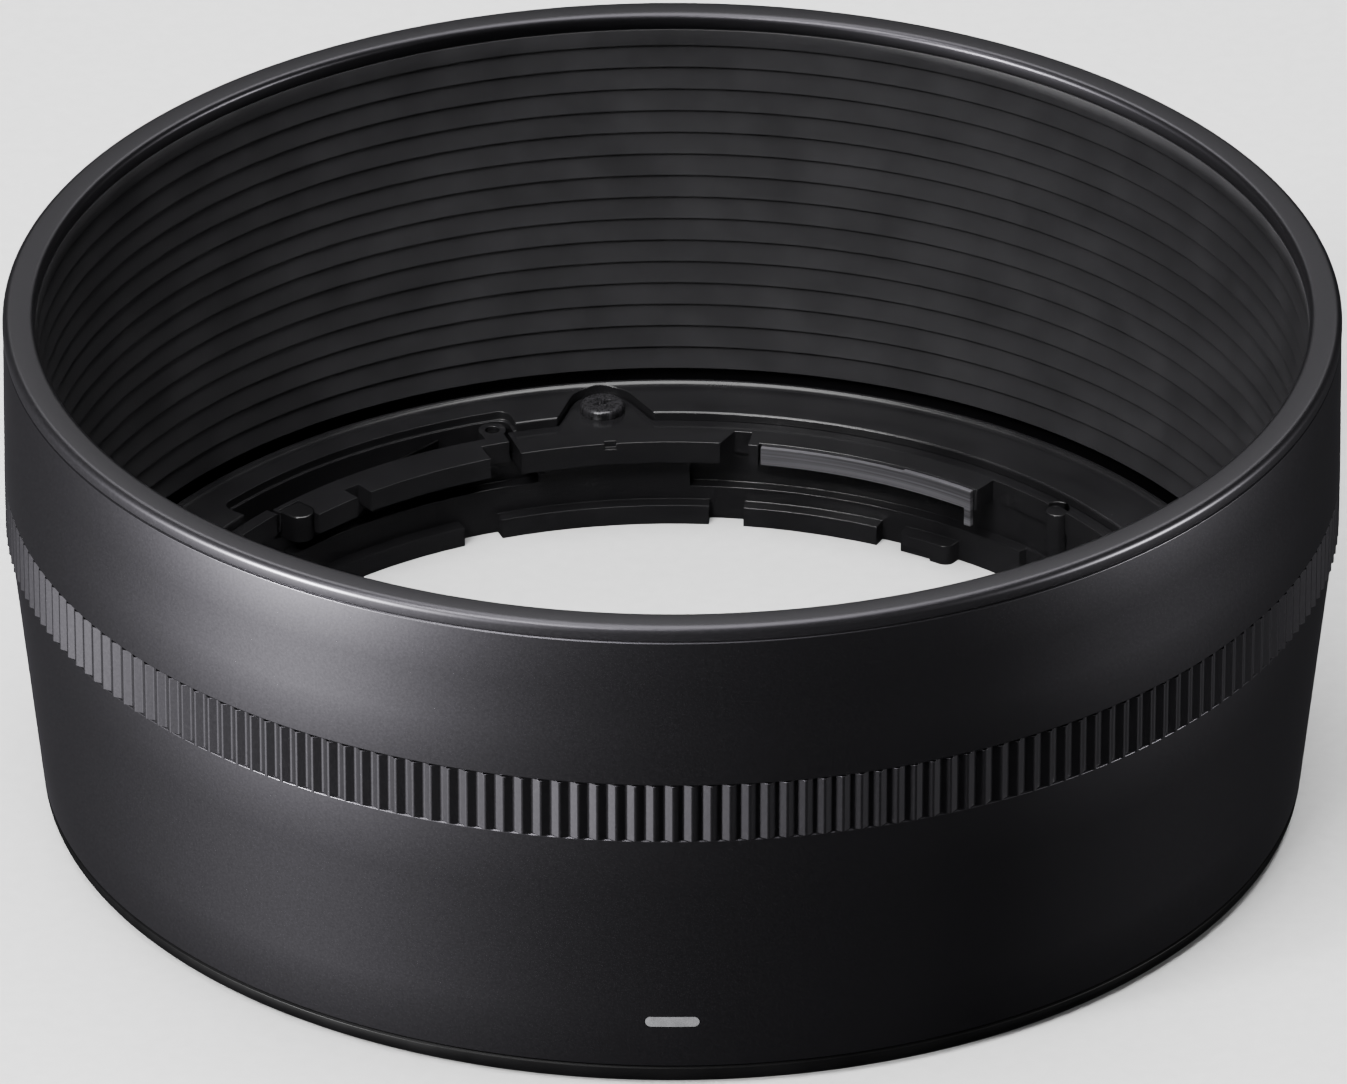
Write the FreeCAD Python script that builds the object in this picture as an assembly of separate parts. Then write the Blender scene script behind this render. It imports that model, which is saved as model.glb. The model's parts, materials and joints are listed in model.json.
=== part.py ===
"""Bayonet lens hood: a knurled metal barrel round a ribbed light trap and a plastic bayonet.

Millimetres, +Z towards the mouth.  The origin is on the hood's axis, in the plane of its
lower edge.  A bearing is an angle about the axis in degrees: 0 at the index mark, which
faces -Y, and growing towards +X.
"""
import FreeCAD, Part
import math
import os

V = FreeCAD.Vector
AXIS = V(0, 0, 1)
ORIGIN = V(0, 0, 0)

# ---- barrel -------------------------------------------------------------------------
MOUTH_R = 42.0            # clear radius of the mouth
RIM_R = 44.15             # outside of the flat front rim
RIM_TOP_Z = 35.05
RIM_SEAM_Z = 33.98        # seam between the rim and the barrel below it
RIM_UNDER_Z = 33.95       # underside of the rim, over the light trap
RIM_LEG_Z = 33.20         # bottom of the leg that plugs into the barrel
RIM_LEG_R = 43.30         # outside of that leg
RIM_OUTER_ROUND = 0.50
RIM_INNER_ROUND = 0.42
BAND_TOP_R = 44.13        # the band draws in a little towards the rim
BARREL_BORE_R = 42.80

GRIP_R = 44.25            # crest of the knurl, flush with the band above it
GRIP_TOP_Z = 23.50
GRIP_BOTTOM_Z = 19.45
GRIP_BORE_R = 43.47
GRIP_RIBS = 228
GRIP_DEPTH = 0.28
GRIP_CREST_SHARE = 0.12   # share of the pitch at the crest
GRIP_FLOOR_SHARE = 0.12   # share of the pitch at the groove floor
SPIGOT_R = 43.43          # barrel spigot that carries the grip ring
SPIGOT_BOTTOM_Z = 17.50

SKIRT_TOP_R = 44.09
SKIRT_BOTTOM_R = 42.16
SKIRT_BOTTOM_Z = 1.60
SKIRT_BORE_R = 42.82      # inside, just below the spigot
SEAT_POCKET_R = 41.05     # inside, round the mount seat
SEAT_POCKET_TOP_Z = 5.30
SEAM = 0.05               # glue line between pieces that stand inside each other
EDGE_BREAK = 0.10
RIM_SEAM_GAP = 0.02       # shadow line between the rim and the band
POCKET_SLOPE_R = 41.50    # top of the slope that leads into the seat's pocket

# ---- how cutters and joined blocks are oversized -------------------------------------
PAST = 1.0                # a cutter runs this far past what it cuts
INTO = 0.3                # a joined block runs this far into the one beside it
SLIP = 0.02               # clearance between pieces that touch without glue

# ---- ribbed light trap --------------------------------------------------------------
TRAP_TOP_Z = 33.90
TRAP_BOTTOM_Z = 8.14
TRAP_BOTTOM_R = 40.98
TRAP_OUTER_R = 42.75
TRAP_OUTER_BOTTOM_R = 41.82
TRAP_OUTER_TURN_Z = 17.0
TRAP_TEETH = 16
TRAP_FIRST_LEDGE_Z = 32.68    # underside of the highest tooth
TRAP_LAST_LEDGE_Z = 9.79
TRAP_TOOTH_DEPTH = 0.30

# ---- mount seat and base ------------------------------------------------------------
SEAT_R = 41.0
SEAT_TOP_R = 40.70
SEAT_TOP_Z = 7.30
SEAT_LIP_Z = 7.52         # raised lip round the outside, hollowed down to the top
SEAT_LIP_WIDE = 0.34
SEAT_HOLLOW_R = 0.62      # radius of the hollow beside the lip
HOLLOW_STEPS = 5
SEAT_BOTTOM_Z = 1.10
SEAT_BORE_R = 36.20
SEAT_STEP_Z = 5.40
SEAT_STEP_SLOPE = 0.20
BASE_R = 42.10
BASE_THICK = 1.05         # under the seat
BASE_BORE_R = 36.25
BASE_LIP_R = 41.06        # inside of the raised lip that shows below the skirt
BASE_LIP_Z = 1.46
BASE_LIP_BREAK = 0.14
BASE_ROUND = 1.10

# ---- bayonet ring -------------------------------------------------------------------
BAYONET_R = 36.15
FLANGE_R = 33.0           # inner edge of the upper flange
FLANGE_TOP_Z = 6.68
FLANGE_BOTTOM_Z = 5.05
CHANNEL_R = 35.20         # wall of the channels that let the lens's lugs in
GROOVE_R = 35.40          # wall of the groove that the lugs turn in
LOWER_RING_R = 34.50
ENTRY_FLOOR_Z = 2.45      # groove floor on the side that the lugs don't use
TRAVEL_FLOOR_Z = 3.40     # groove floor on the side that they do
TRAVEL_FLOOR_RUN = 2.0    # degrees that floor runs past the flange's end
TAB_R = 33.50             # centring tabs at the lower edge
TAB_TOP_Z = 1.44
SEGMENTS = 3
SEGMENT_PITCH = 360.0 / SEGMENTS
FLANGE_START = 141.4      # bearings of the flange segment that carries the click arm
FLANGE_END = 226.2
CHANNEL_LAG = 4.9         # the lower ring runs this much further than the flange
STOP_START = 178.0        # solid wall that stops a lug
STOP_END = 195.5
RELIEF_START = 170.9      # square-ended relief in the flange, its far side slanted
RELIEF_END = 172.9
RELIEF_SLANT_END = 174.3
RELIEF_R = 34.80
RELIEF_BELOW = 0.60       # how far the relief cuts below the flange
CHANNEL_BELOW = 0.50      # how far the wide part of a channel cuts below the flange
GATE_START = 186.7        # shallow gate mark in the flange's edge
GATE_END = 188.1
GATE_R = 33.40
GATE_DEPTH = 0.45
TABS = [(155.2, 171.6), (175.7, 200.4), (205.2, 223.0)]
PADDLE_START = 145.3      # rounded tab that stands a little further in
PADDLE_END = 152.3
PADDLE_R = 33.25
PADDLE_ROUND = 0.70
PADDLE_STEP_START = 147.9
PADDLE_STEP_Z = 0.55
STOP_PILLAR_BEARING = 131.9
PILLAR_R = 0.80
PILLAR_CIRCLE_R = 35.30   # distance of its centre from the axis
PILLAR_BACK_R = 35.80     # its flat back
PILLAR_HALF_SPAN = 3.0    # degrees, wider than the pillar
PILLAR_TOP_Z = 6.50

# ---- screws -------------------------------------------------------------------------
SCREW_BEARING = -172.7
SCREW_CIRCLE_R = 37.90
SCREW_HEAD_R = 1.53
SCREW_HEAD_H = 0.62
SCREW_HEAD_ROUND = 0.28
SCREW_SHANK_R = 0.83
SCREW_END_Z = 2.40
SCREW_HOLE_R = 0.86
EAR_HOLE_R = 0.95
SCREW_HOLE_BELOW = 0.20   # the hole is this much deeper than the screw
RECESS_TURN = 20.0        # degrees the cross recess is turned by
RECESS_W = 0.34
RECESS_L = 1.50
RECESS_DEPTH = 0.34
EAR_R = 2.20              # round end of a screw ear
EAR_HALF_FOOT = 3.30
EAR_FOOT_R = 35.90
EAR_CLEAR = 0.13
EAR_BOTTOM_Z = 5.55

# ---- click mechanism ----------------------------------------------------------------
POCKET_START = 197.6      # arc pocket in the seat that the arm swings into
POCKET_END = 233.3
POCKET_R = 38.20
POCKET_FLOOR_Z = 3.60
POCKET_STEP_Z = 6.70
POCKET_STEP = 0.20
POCKET_STEP_SIDE = 0.30   # degrees the upper step is wider by at each end
POCKET_ROUND = 0.85
PIVOT_BEARING = 199.6
PIVOT_R = 36.95           # distance of the pivot from the hood's axis
PIN_R = 0.45
PIN_HOLE_R = 0.50
PIN_DEPTH = 1.50          # how deep the pin stands in the seat
PIN_BELOW = 0.25          # how far its end lies below the arm's top
PIN_CHAMFER = 0.10
KNUCKLE_R = 0.95
ARM_FREE_END = 229.4
ARM_NOTCH_START = 202.1   # the arm's inner edge starts here
ARM_FOOT_START = 198.7    # and its outer part here
ARM_TIP = 3.0             # degrees of the arm's thin tip, beyond its plate
ARM_SIDE_GAP = 0.45       # degrees between the arm's ends and the fixed flange
WEB_BEFORE = 0.9          # degrees of the web to the knuckle, each side of the pivot
WEB_AFTER = 1.4
WEB_DEPTH = 0.5           # how far the web and the knuckle's root reach into the plate
ARM_BOTTOM_Z = 5.15
ARM_TOP_Z = 6.66
ARM_OUTER_R = 35.88
ARM_NOTCH_R = 34.90
SLOT_START = 218.5        # narrow notch in the arm's inner edge
SLOT_END = 220.6
SLOT_R = 34.45
NUB_BEARING = 227.6
NUB_R = 0.95              # radius of the nub's rounded nose
NUB_REACH_R = 33.42       # the nose's nearest point to the axis
NUB_FOOT_R = 35.45
NUB_BOTTOM_Z = 4.70
NUB_CHAMFER = 0.08
NUB_ROOM = 2.3            # degrees of groove wall cleared each side of the nub
NUB_ROOM_BELOW = 0.10
LEAF_T = 0.20
LEAF_PAD_START = 214.0
LEAF_PAD_END = 220.5
LEAF_BEND = 1.2           # degrees before the pad where the tongue starts to lean out
LEAF_TIP = 205.5
LEAF_BOW = 0.12           # how far the tongue's middle bows inward
LEAF_TIP_R = 37.35
LEAF_BOTTOM_Z = 5.35
LEAF_TOP_Z = 6.40
RIVET_R = 0.32
RIVET_HEAD_R = 0.50
RIVET_HEAD_H = 0.22
RIVET_DEPTH = 0.90        # how deep a rivet stands in the arm
RIVET_HOLE_DEPTH = 1.00
RIVET_HOLE_LENGTH = 1.60
RIVET_BEARINGS = (215.3, 219.2)

# ---- friction spring ----------------------------------------------------------------
STRIP_T = 0.35
STRIP_START = 141.9
STRIP_END = 169.4
STRIP_BOTTOM_Z = 5.20
STRIP_TOP_Z = 6.60
STRIP_LOW_TOP_Z = 6.48
STRIP_STEP = 151.4
STRIP_TAB_W = 0.9         # degrees
STRIP_SEAT_GAP = 0.03
STRIP_SEAT_BEFORE = 1.5   # degrees of seat before the strip, and after it
STRIP_SEAT_AFTER = 0.3
STRIP_LAP = 0.1           # how far the strip's joined stretches overlap
STRIP_TAB_Z = 3.90

# ---- index mark ---------------------------------------------------------------------
MARK_LENGTH = 3.50
MARK_HEIGHT = 0.77
MARK_Z = 5.10
MARK_DEPTH = 0.16
MARK_RECESS = 0.22
MARK_BELOW = 0.02
MARK_GAP = 0.06
MARK_ZONE = 1.5           # half height of the stretch of skirt that holds the mark
MARK_REACH = 0.5          # how far its cutter stands out of the skirt


def polar(radius, bearing, z=0.0):
    """The point at a distance from the axis and a bearing from the index mark."""
    angle = math.radians(bearing - 90.0)
    return V(radius * math.cos(angle), radius * math.sin(angle), z)


def turned(shape, bearing):
    """A copy of a shape turned about the hood's axis."""
    copy = shape.copy()
    copy.rotate(ORIGIN, AXIS, bearing)
    return copy


def line(a, b):
    return Part.LineSegment(a, b).toShape()


def arc(a, b, c):
    return Part.Arc(a, b, c).toShape()


def revolve(edges):
    """A full ring from the edges of its section in the XZ half-plane."""
    face = Part.Face(Part.Wire(edges))
    return face.revolve(ORIGIN, AXIS, 360.0)


def ring(points):
    """A ring from straight-sided (radius, z) section points."""
    corners = [V(r, 0, z) for r, z in points]
    corners.append(corners[0])
    return revolve([line(a, b) for a, b in zip(corners, corners[1:])])


def sector(r_in, r_out, start, end, z_low, z_high):
    """A block between two radii, two bearings and two heights."""
    middle = (start + end) / 2.0
    edges = [
        line(polar(r_in, start, z_low), polar(r_out, start, z_low)),
        arc(polar(r_out, start, z_low), polar(r_out, middle, z_low), polar(r_out, end, z_low)),
        line(polar(r_out, end, z_low), polar(r_in, end, z_low)),
        arc(polar(r_in, end, z_low), polar(r_in, middle, z_low), polar(r_in, start, z_low)),
    ]
    return Part.Face(Part.Wire(edges)).extrude(V(0, 0, z_high - z_low))


def post(radius, distance, bearing, z_low, z_high):
    """An upright cylinder."""
    return Part.makeCylinder(radius, z_high - z_low, polar(distance, bearing, z_low), AXIS)


def prism(points, z_low, z_high):
    """An upright block on a closed outline of straight sides."""
    base = [V(p.x, p.y, z_low) for p in points]
    base.append(base[0])
    return Part.Face(Part.makePolygon(base)).extrude(V(0, 0, z_high - z_low))


def upright_edges(shape, keep):
    """The straight vertical edges whose distance from the axis passes a test."""
    chosen = []
    for edge in shape.Edges:
        a, b = edge.Vertexes[0].Point, edge.Vertexes[-1].Point
        level = math.hypot(a.x - b.x, a.y - b.y)
        if level < 1e-6 and abs(a.z - b.z) > 0.1 and keep(math.hypot(a.x, a.y)):
            chosen.append(edge)
    return chosen


def skirt_radius(z):
    share = (z - SKIRT_BOTTOM_Z) / (GRIP_BOTTOM_Z - SKIRT_BOTTOM_Z)
    return SKIRT_BOTTOM_R + (SKIRT_TOP_R - SKIRT_BOTTOM_R) * share


# ---- barrel pieces ------------------------------------------------------------------
def front_rim():
    """Flat-topped rim with rounded edges, and a leg that plugs into the barrel."""
    outer_c = V(RIM_R - RIM_OUTER_ROUND, 0, RIM_TOP_Z - RIM_OUTER_ROUND)
    inner_c = V(MOUTH_R + RIM_INNER_ROUND, 0, RIM_TOP_Z - RIM_INNER_ROUND)
    diagonal = math.sqrt(0.5)
    start = V(MOUTH_R, 0, inner_c.z)
    inner_mid = inner_c + V(-RIM_INNER_ROUND * diagonal, 0, RIM_INNER_ROUND * diagonal)
    inner_top = V(inner_c.x, 0, RIM_TOP_Z)
    outer_top = V(outer_c.x, 0, RIM_TOP_Z)
    outer_mid = outer_c + V(RIM_OUTER_ROUND * diagonal, 0, RIM_OUTER_ROUND * diagonal)
    shoulder = V(RIM_R, 0, outer_c.z)
    lip = V(RIM_R, 0, RIM_SEAM_Z + EDGE_BREAK)
    under = V(RIM_R - EDGE_BREAK, 0, RIM_SEAM_Z)
    step = V(RIM_LEG_R, 0, RIM_SEAM_Z)
    leg_out = V(RIM_LEG_R, 0, RIM_LEG_Z)
    leg_in = V(BARREL_BORE_R, 0, RIM_LEG_Z)
    leg_root = V(BARREL_BORE_R, 0, RIM_UNDER_Z)
    under_in = V(MOUTH_R, 0, RIM_UNDER_Z)
    return revolve([
        arc(start, inner_mid, inner_top),
        line(inner_top, outer_top),
        arc(outer_top, outer_mid, shoulder),
        line(shoulder, lip),
        line(lip, under),
        line(under, step),
        line(step, leg_out),
        line(leg_out, leg_in),
        line(leg_in, leg_root),
        line(leg_root, under_in),
        line(under_in, start),
    ])


def front_barrel():
    """Smooth front band, with a spigot below that carries the grip ring."""
    counterbore_r = RIM_LEG_R + SEAM
    top = RIM_SEAM_Z - RIM_SEAM_GAP
    return ring([
        (BARREL_BORE_R, SPIGOT_BOTTOM_Z),
        (SPIGOT_R, SPIGOT_BOTTOM_Z),
        (SPIGOT_R, GRIP_TOP_Z + SEAM),
        (GRIP_R - EDGE_BREAK, GRIP_TOP_Z + SEAM),
        (GRIP_R, GRIP_TOP_Z + SEAM + EDGE_BREAK),
        (BAND_TOP_R, top - EDGE_BREAK),
        (BAND_TOP_R - EDGE_BREAK, top),
        (counterbore_r, top),
        (counterbore_r, RIM_LEG_Z - SEAM),
        (BARREL_BORE_R, RIM_LEG_Z - SEAM),
    ])


def grip_ring():
    """Knurled ring: straight ribs with sloping flanks, flush with the band."""
    pitch = 360.0 / GRIP_RIBS
    crest = pitch * GRIP_CREST_SHARE
    floor = pitch * GRIP_FLOOR_SHARE
    flank = (pitch - crest - floor) / 2.0
    floor_r = GRIP_R - GRIP_DEPTH
    outline = []
    for rib in range(GRIP_RIBS):
        start = rib * pitch
        outline.append(polar(GRIP_R, start, GRIP_BOTTOM_Z))
        outline.append(polar(GRIP_R, start + crest, GRIP_BOTTOM_Z))
        outline.append(polar(floor_r, start + crest + flank, GRIP_BOTTOM_Z))
        outline.append(polar(floor_r, start + crest + flank + floor, GRIP_BOTTOM_Z))
    outline.append(outline[0])
    outer = Part.makePolygon(outline)
    bore = Part.Wire(Part.makeCircle(GRIP_BORE_R, V(0, 0, GRIP_BOTTOM_Z), AXIS))
    face = Part.Face([outer, bore])
    return face.extrude(V(0, 0, GRIP_TOP_Z - GRIP_BOTTOM_Z))


def mark_prism(gap):
    """Pill-shaped prism along the front radius, larger than the mark by a gap."""
    radius = MARK_HEIGHT / 2.0 + gap
    half = (MARK_LENGTH - MARK_HEIGHT) / 2.0
    y = -SKIRT_TOP_R - PAST
    edges = [
        line(V(-half, y, MARK_Z + radius), V(half, y, MARK_Z + radius)),
        arc(V(half, y, MARK_Z + radius), V(half + radius, y, MARK_Z), V(half, y, MARK_Z - radius)),
        line(V(half, y, MARK_Z - radius), V(-half, y, MARK_Z - radius)),
        arc(V(-half, y, MARK_Z - radius), V(-half - radius, y, MARK_Z), V(-half, y, MARK_Z + radius)),
    ]
    return Part.Face(Part.Wire(edges)).extrude(V(0, 4 * PAST, 0))


def skirt_skin(outer_depth, inner_depth):
    """A thin layer of the skirt between two depths below its outside, round the mark."""
    low, high = MARK_Z - MARK_ZONE, MARK_Z + MARK_ZONE
    return ring([
        (skirt_radius(low) - inner_depth, low),
        (skirt_radius(low) - outer_depth, low),
        (skirt_radius(high) - outer_depth, high),
        (skirt_radius(high) - inner_depth, high),
    ])


def rear_skirt():
    """Tapered skirt: rabbet for the spigot, pocket for the seat, recess for the mark."""
    rabbet_r = SPIGOT_R + SEAM
    body = ring([
        (SEAT_POCKET_R, SKIRT_BOTTOM_Z),
        (SKIRT_BOTTOM_R, SKIRT_BOTTOM_Z),
        (SKIRT_TOP_R - EDGE_BREAK, GRIP_BOTTOM_Z - SEAM - EDGE_BREAK),
        (SKIRT_TOP_R - 2 * EDGE_BREAK, GRIP_BOTTOM_Z - SEAM),
        (rabbet_r, GRIP_BOTTOM_Z - SEAM),
        (rabbet_r, SPIGOT_BOTTOM_Z - SEAM),
        (SKIRT_BORE_R, SPIGOT_BOTTOM_Z - SEAM),
        (TRAP_OUTER_BOTTOM_R + SEAM, TRAP_BOTTOM_Z),
        (POCKET_SLOPE_R, SEAT_POCKET_TOP_Z),
        (SEAT_POCKET_R, SEAT_POCKET_TOP_Z),
    ])
    return body.cut(mark_prism(MARK_GAP).common(skirt_skin(-MARK_REACH, MARK_RECESS)))


def index_mark():
    """Filled mark, a hair below the skirt's surface."""
    return mark_prism(0.0).common(skirt_skin(MARK_BELOW, MARK_BELOW + MARK_DEPTH))


def base_ring():
    """Bottom band: carries the seat, with a lip below the skirt and a rounded lower edge."""
    centre = V(BASE_R - BASE_ROUND, 0, BASE_ROUND)
    diagonal = BASE_ROUND * math.sqrt(0.5)
    side = V(BASE_R, 0, BASE_ROUND)
    foot = V(BASE_R - BASE_ROUND, 0, 0)
    inner_foot = V(BASE_BORE_R, 0, 0)
    inner_top = V(BASE_BORE_R, 0, BASE_THICK)
    lip_root = V(BASE_LIP_R, 0, BASE_THICK)
    lip_top = V(BASE_LIP_R, 0, BASE_LIP_Z)
    edge_top = V(BASE_R - BASE_LIP_BREAK, 0, BASE_LIP_Z)
    edge_side = V(BASE_R, 0, BASE_LIP_Z - BASE_LIP_BREAK)
    return revolve([
        arc(side, centre + V(diagonal, 0, -diagonal), foot),
        line(foot, inner_foot),
        line(inner_foot, inner_top),
        line(inner_top, lip_root),
        line(lip_root, lip_top),
        line(lip_top, edge_top),
        line(edge_top, edge_side),
        line(edge_side, side),
    ])


# ---- light trap ---------------------------------------------------------------------
def trap_radius(z):
    share = (TRAP_TOP_Z - z) / (TRAP_TOP_Z - TRAP_BOTTOM_Z)
    return MOUTH_R - (MOUTH_R - TRAP_BOTTOM_R) * share


def light_trap_sleeve():
    """Thin sleeve turned inside with teeth: each slopes inward down to a square ledge."""
    ledges = TRAP_TEETH - 1
    spacing = (TRAP_FIRST_LEDGE_Z - TRAP_LAST_LEDGE_Z) / (ledges - 1)
    points = [
        (TRAP_OUTER_BOTTOM_R, TRAP_BOTTOM_Z),
        (TRAP_OUTER_R, TRAP_OUTER_TURN_Z),
        (TRAP_OUTER_R, TRAP_TOP_Z),
        (trap_radius(TRAP_TOP_Z), TRAP_TOP_Z),
    ]
    for ledge in range(ledges):
        z = TRAP_FIRST_LEDGE_Z - ledge * spacing
        points.append((trap_radius(z), z))
        points.append((trap_radius(z) + TRAP_TOOTH_DEPTH, z))
    points.append((trap_radius(TRAP_BOTTOM_Z), TRAP_BOTTOM_Z))
    return ring(points)


# ---- screws and their ears ----------------------------------------------------------
def screw_bearings():
    return [SCREW_BEARING + SEGMENT_PITCH * n for n in range(SEGMENTS)]


def ear(clearance, z_low, z_high):
    """Bell-shaped ear at bearing 0: a round end with two flanks tangent to it."""
    radius = EAR_R + clearance
    foot = EAR_HALF_FOOT + clearance
    across, along = foot, EAR_FOOT_R - SCREW_CIRCLE_R
    distance = math.hypot(across, along)
    angle = math.atan2(along, across) + math.acos(radius / distance)
    tangent = (radius * math.cos(angle), SCREW_CIRCLE_R + radius * math.sin(angle))

    def at(side, out):
        return V(side, -out, z_low)

    edges = [
        line(at(foot, EAR_FOOT_R), at(tangent[0], tangent[1])),
        arc(at(tangent[0], tangent[1]), at(0, SCREW_CIRCLE_R + radius), at(-tangent[0], tangent[1])),
        line(at(-tangent[0], tangent[1]), at(-foot, EAR_FOOT_R)),
        line(at(-foot, EAR_FOOT_R), at(foot, EAR_FOOT_R)),
    ]
    return Part.Face(Part.Wire(edges)).extrude(V(0, 0, z_high - z_low))


def screw():
    """Pan-head screw at bearing 0, with a cross recess."""
    head = post(SCREW_HEAD_R, SCREW_CIRCLE_R, 0, FLANGE_TOP_Z, FLANGE_TOP_Z + SCREW_HEAD_H)
    top = [e for e in head.Edges if abs(e.CenterOfMass.z - head.BoundBox.ZMax) < 1e-6]
    head = head.makeFillet(SCREW_HEAD_ROUND, top)
    shank = post(SCREW_SHANK_R, SCREW_CIRCLE_R, 0, SCREW_END_Z, FLANGE_TOP_Z + INTO)
    solid = head.fuse(shank).removeSplitter()
    z = FLANGE_TOP_Z + SCREW_HEAD_H - RECESS_DEPTH
    for turn in (RECESS_TURN, RECESS_TURN + 90.0):
        bar = Part.makeBox(RECESS_L, RECESS_W, PAST, V(-RECESS_L / 2, -RECESS_W / 2, 0))
        bar.rotate(ORIGIN, AXIS, turn)
        bar.translate(polar(SCREW_CIRCLE_R, 0, z))
        solid = solid.cut(bar)
    return solid


def mount_screws():
    return Part.makeCompound([turned(screw(), bearing) for bearing in screw_bearings()])


# ---- mount seat ---------------------------------------------------------------------
def arc_pocket():
    """Cutter for the pocket that the click arm swings into, stepped near its top."""
    deep = sector(SEAT_BORE_R - PAST, POCKET_R - POCKET_STEP, POCKET_START, POCKET_END,
                  POCKET_FLOOR_Z, SEAT_TOP_Z + PAST)
    wide = sector(SEAT_BORE_R - PAST, POCKET_R, POCKET_START - POCKET_STEP_SIDE,
                  POCKET_END + POCKET_STEP_SIDE, POCKET_STEP_Z, SEAT_TOP_Z + PAST)
    rounded = []
    for block in (deep, wide):
        corners = upright_edges(block, lambda r: r > SEAT_BORE_R)
        rounded.append(block.makeFillet(POCKET_ROUND, corners))
    return rounded[0].fuse(rounded[1])


def seat_hollow():
    """Section points of the hollow from the lip's inner edge down to the seat's top."""
    steepest = math.acos(1.0 - (SEAT_LIP_Z - SEAT_TOP_Z) / SEAT_HOLLOW_R)
    start_r = SEAT_TOP_R - SEAT_LIP_WIDE
    points = []
    for step in range(HOLLOW_STEPS + 1):
        angle = steepest * (1.0 - step / HOLLOW_STEPS)
        inward = SEAT_HOLLOW_R * (math.sin(steepest) - math.sin(angle))
        points.append((start_r - inward, SEAT_TOP_Z + SEAT_HOLLOW_R * (1.0 - math.cos(angle))))
    return points


def mount_seat():
    """Ring that the bayonet drops into, with screw bosses and the click arm's pocket."""
    body = ring([
        (SEAT_BORE_R, SEAT_BOTTOM_Z),
        (SEAT_R, SEAT_BOTTOM_Z),
        (SEAT_R, SEAT_STEP_Z - SEAT_STEP_SLOPE),
        (SEAT_TOP_R, SEAT_STEP_Z),
        (SEAT_TOP_R, SEAT_LIP_Z - EDGE_BREAK),
        (SEAT_TOP_R - EDGE_BREAK, SEAT_LIP_Z),
        *seat_hollow(),
        (SEAT_BORE_R + EDGE_BREAK, SEAT_TOP_Z),
        (SEAT_BORE_R, SEAT_TOP_Z - EDGE_BREAK),
    ])
    body = body.cut(arc_pocket())
    for bearing in screw_bearings():
        notch = ear(EAR_CLEAR, EAR_BOTTOM_Z - SEAM, SEAT_TOP_Z + PAST)
        hole = post(SCREW_HOLE_R, SCREW_CIRCLE_R, bearing, SCREW_END_Z - SCREW_HOLE_BELOW, SEAT_TOP_Z)
        body = body.cut(turned(notch, bearing)).cut(hole)
    pin_hole = post(PIN_R, PIVOT_R, PIVOT_BEARING, POCKET_FLOOR_Z - PIN_DEPTH, POCKET_FLOOR_Z + PAST)
    return body.cut(pin_hole)


# ---- bayonet ring -------------------------------------------------------------------
def relief():
    """Cutter for the flange's relief: one square side and one slanted side."""
    outline = [
        polar(FLANGE_R - PAST, RELIEF_START),
        polar(RELIEF_R, RELIEF_START),
        polar(RELIEF_R, RELIEF_END),
        polar(FLANGE_R, RELIEF_SLANT_END),
        polar(FLANGE_R - PAST, RELIEF_SLANT_END),
    ]
    return prism(outline, FLANGE_BOTTOM_Z - RELIEF_BELOW, FLANGE_TOP_Z + PAST)


def bayonet_section():
    """The plain ring: lower ring, groove wall and upper flange before any cuts."""
    return ring([
        (LOWER_RING_R, 0),
        (BAYONET_R, 0),
        (BAYONET_R, FLANGE_TOP_Z),
        (FLANGE_R, FLANGE_TOP_Z),
        (FLANGE_R, FLANGE_BOTTOM_Z),
        (GROOVE_R, FLANGE_BOTTOM_Z),
        (GROOVE_R, ENTRY_FLOOR_Z),
        (LOWER_RING_R, ENTRY_FLOOR_Z),
    ])


def segment_additions():
    """What each segment adds: the stop wall, the raised floor and the centring tabs."""
    blocks = [
        sector(LOWER_RING_R, GROOVE_R + INTO, STOP_START, STOP_END,
               ENTRY_FLOOR_Z - INTO, FLANGE_BOTTOM_Z + INTO),
        sector(LOWER_RING_R, GROOVE_R + INTO, STOP_END - PAST, FLANGE_END + TRAVEL_FLOOR_RUN,
               ENTRY_FLOOR_Z - INTO, TRAVEL_FLOOR_Z),
    ]
    for start, end in TABS:
        blocks.append(sector(TAB_R, LOWER_RING_R + INTO, start, end, 0, TAB_TOP_Z))
    blocks.append(paddle())
    return blocks


def paddle():
    """Rounded tab at the segment's entry, with a step low on its inner face."""
    block = sector(PADDLE_R, LOWER_RING_R + INTO, PADDLE_START, PADDLE_END, 0, TAB_TOP_Z)
    inner = upright_edges(block, lambda r: r < LOWER_RING_R)
    block = block.makeFillet(PADDLE_ROUND, inner)
    step = sector(PADDLE_R - PAST, TAB_R, PADDLE_STEP_START, PADDLE_END + PAST, -PAST, PADDLE_STEP_Z)
    return block.cut(step)


def segment_cuts():
    """What each segment loses: the lug channel beside it, the relief and the gate mark."""
    channel_start = FLANGE_END + CHANNEL_LAG - SEGMENT_PITCH
    channel_end = FLANGE_START - CHANNEL_LAG
    return [
        sector(FLANGE_R - PAST, CHANNEL_R, FLANGE_END - SEGMENT_PITCH, FLANGE_START,
               FLANGE_BOTTOM_Z - CHANNEL_BELOW, FLANGE_TOP_Z + PAST),
        sector(FLANGE_R - PAST, CHANNEL_R, channel_start, channel_end, -PAST, FLANGE_TOP_Z + PAST),
        relief(),
        sector(FLANGE_R - PAST, FLANGE_R + STRIP_T + STRIP_SEAT_GAP, STRIP_START - STRIP_SEAT_BEFORE,
               STRIP_END + STRIP_SEAT_AFTER, FLANGE_BOTTOM_Z - PAST, FLANGE_TOP_Z + PAST),
        sector(FLANGE_R - PAST, GATE_R, GATE_START, GATE_END, FLANGE_TOP_Z - GATE_DEPTH,
               FLANGE_TOP_Z + PAST),
    ]


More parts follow.
